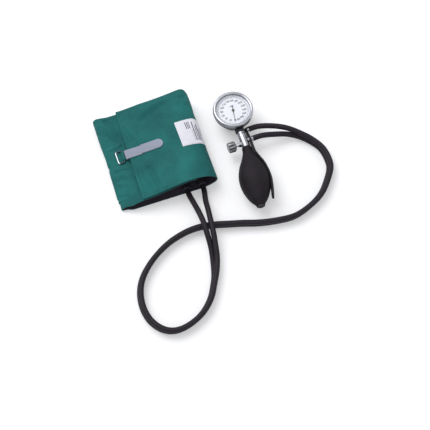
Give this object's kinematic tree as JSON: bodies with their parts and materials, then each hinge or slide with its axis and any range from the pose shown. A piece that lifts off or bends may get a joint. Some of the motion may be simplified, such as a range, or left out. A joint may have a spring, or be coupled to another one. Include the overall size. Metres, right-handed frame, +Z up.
{
  "type": "aneroid blood pressure gauge with child cuff",
  "caption": "Hand-held aneroid blood pressure gauge on a squeeze bulb with a finger plate and release valve, joined by two hoses to a rolled child's arm cuff with a strap and ring.",
  "frame": {"origin": "middle of the footprint of cuff and gauge head, on the surface they lie on", "axes": "+Z up out of the table and out of the dial, +X from the cuff to the gauge head, -Y the way the bulb and the cuff's open end with the hoses point"},
  "size_m": [0.2707, 0.2834, 0.036],
  "materials": {
    "outer_cloth": "woven coated nylon",
    "lining_cloth": "brushed lining",
    "bladder_rubber": "smooth",
    "hook_loop": "hook and loop",
    "strap_web": "grey webbing",
    "ring_steel": "polished",
    "label_cloth": "satin label",
    "case_plastic": "satin black",
    "bezel_chrome": "polished",
    "lens_clear": "clear",
    "gasket_rubber": "matte",
    "dial_paint": "matte white",
    "movement_brass": "satin",
    "movement_steel": "fine",
    "pointer_paint": "matte black",
    "valve_chrome": "polished",
    "seat_rubber": "matte",
    "knob_metal": "knurled",
    "bulb_rubber": "smooth satin",
    "plate_paint": "satin black",
    "hose_rubber": "smooth",
    "disc_rubber": "soft red"
  },
  "bodies": {
    "cuff_and_head": {"cuff_base": "outer_cloth", "base_lining": "lining_cloth", "bladder": "bladder_rubber", "loop_pad": "hook_loop", "ring_keeper": "outer_cloth", "gauge_case": "case_plastic", "bezel": "bezel_chrome", "lens": "lens_clear", "lens_gasket": "gasket_rubber", "dial_ring": "dial_paint", "dial_plate": "dial_paint", "movement_rear_plate": "movement_brass", "movement_front_plate": "movement_brass", "movement_pillars": "movement_brass", "movement_screws": "movement_steel", "capsule": "movement_brass", "pressure_tube": "movement_brass", "hairspring": "movement_steel", "gauge_stem": "movement_brass", "neck_washer": "gasket_rubber", "valve_body": "valve_chrome", "valve_seat": "seat_rubber", "packing_nut": "valve_chrome", "bulb_hose_nipple": "valve_chrome", "gauge_hose_nipple": "valve_chrome", "bulb": "bulb_rubber", "inlet_valve": "valve_chrome", "finger_plate": "plate_paint", "bulb_hose": "hose_rubber", "gauge_hose": "hose_rubber"},
    "flap": {"cuff_flap": "outer_cloth", "flap_lining": "lining_cloth", "hook_pad": "hook_loop", "cuff_label": "label_cloth", "strap_tuck_end": "strap_web"},
    "strap": {"strap": "strap_web"},
    "ring": {"steel_ring": "ring_steel"},
    "pointer": {"pointer": "pointer_paint", "pinion": "movement_brass"},
    "sector": {"sector_gear": "movement_brass"},
    "rocker": {"rocker_shaft": "movement_steel"},
    "capsule_top": {"capsule_pin": "movement_steel"},
    "needle": {"valve_needle": "valve_chrome"},
    "knob": {"thumb_knob": "knob_metal"},
    "outlet_ball": {"check_ball": "movement_steel"},
    "inlet_disc": {"inlet_disc": "disc_rubber"}
  },
  "joints": [
    {"name": "flap_open", "type": "hinge", "parent": "cuff_and_head", "child": "flap", "pos_m": [0.02475, 0.0269, 0.012], "axis": [0, 1, 0], "range_deg": [0, 90]},
    {"name": "strap_peel", "type": "hinge", "parent": "flap", "child": "strap", "pos_m": [-0.06985, 0.0294, 0.01827], "axis": [0, -1, 0], "range_deg": [0, 100]},
    {"name": "ring_swing", "type": "hinge", "parent": "cuff_and_head", "child": "ring", "pos_m": [-0.0719, 0.0294, 0.01675], "axis": [0, 1, 0], "range_deg": [0, 75]},
    {"name": "pointer_turn", "type": "hinge", "parent": "cuff_and_head", "child": "pointer", "pos_m": [0.06825, 0.0398, 0.02], "axis": [0, 0, -1], "range_deg": [0, 342]},
    {"name": "sector_swing", "type": "hinge", "parent": "cuff_and_head", "child": "sector", "pos_m": [0.06825, 0.0533, 0.017], "axis": [0, 0, 1], "range_deg": [0, 42.75], "stiffness_Nm_per_rad": 0.0013},
    {"name": "rocker_swing", "type": "hinge", "parent": "cuff_and_head", "child": "rocker", "pos_m": [0.06675, 0.0398, 0.0106], "axis": [0, 1, 0], "range_deg": [0, 39]},
    {"name": "capsule_lift", "type": "slide", "parent": "cuff_and_head", "child": "capsule_top", "axis": [0, 0, 1], "range_m": [0, 0.001]},
    {"name": "needle_slide", "type": "slide", "parent": "cuff_and_head", "child": "needle", "axis": [-1, 0, 0], "range_m": [0, 0.00105]},
    {"name": "knob_turn", "type": "hinge", "parent": "needle", "child": "knob", "pos_m": [0.05225, -0.002, 0.018], "axis": [-1, 0, 0], "range_deg": [0, 540]},
    {"name": "outlet_lift", "type": "slide", "parent": "cuff_and_head", "child": "outlet_ball", "axis": [0, 1, 0], "range_m": [0, 0.001]},
    {"name": "inlet_lift", "type": "slide", "parent": "cuff_and_head", "child": "inlet_disc", "axis": [0.1323, 0.9912, 0], "range_m": [0, 0.0006]}
  ],
  "couplings": [
    {"joint": "pointer_turn", "follows": "sector_swing", "ratio": 8},
    {"joint": "rocker_swing", "follows": "sector_swing", "ratio": 0.912},
    {"joint": "capsule_lift", "follows": "sector_swing", "m_per_rad": 0.00134},
    {"joint": "knob_turn", "follows": "needle_slide", "rad_per_m": 8975.9}
  ]
}
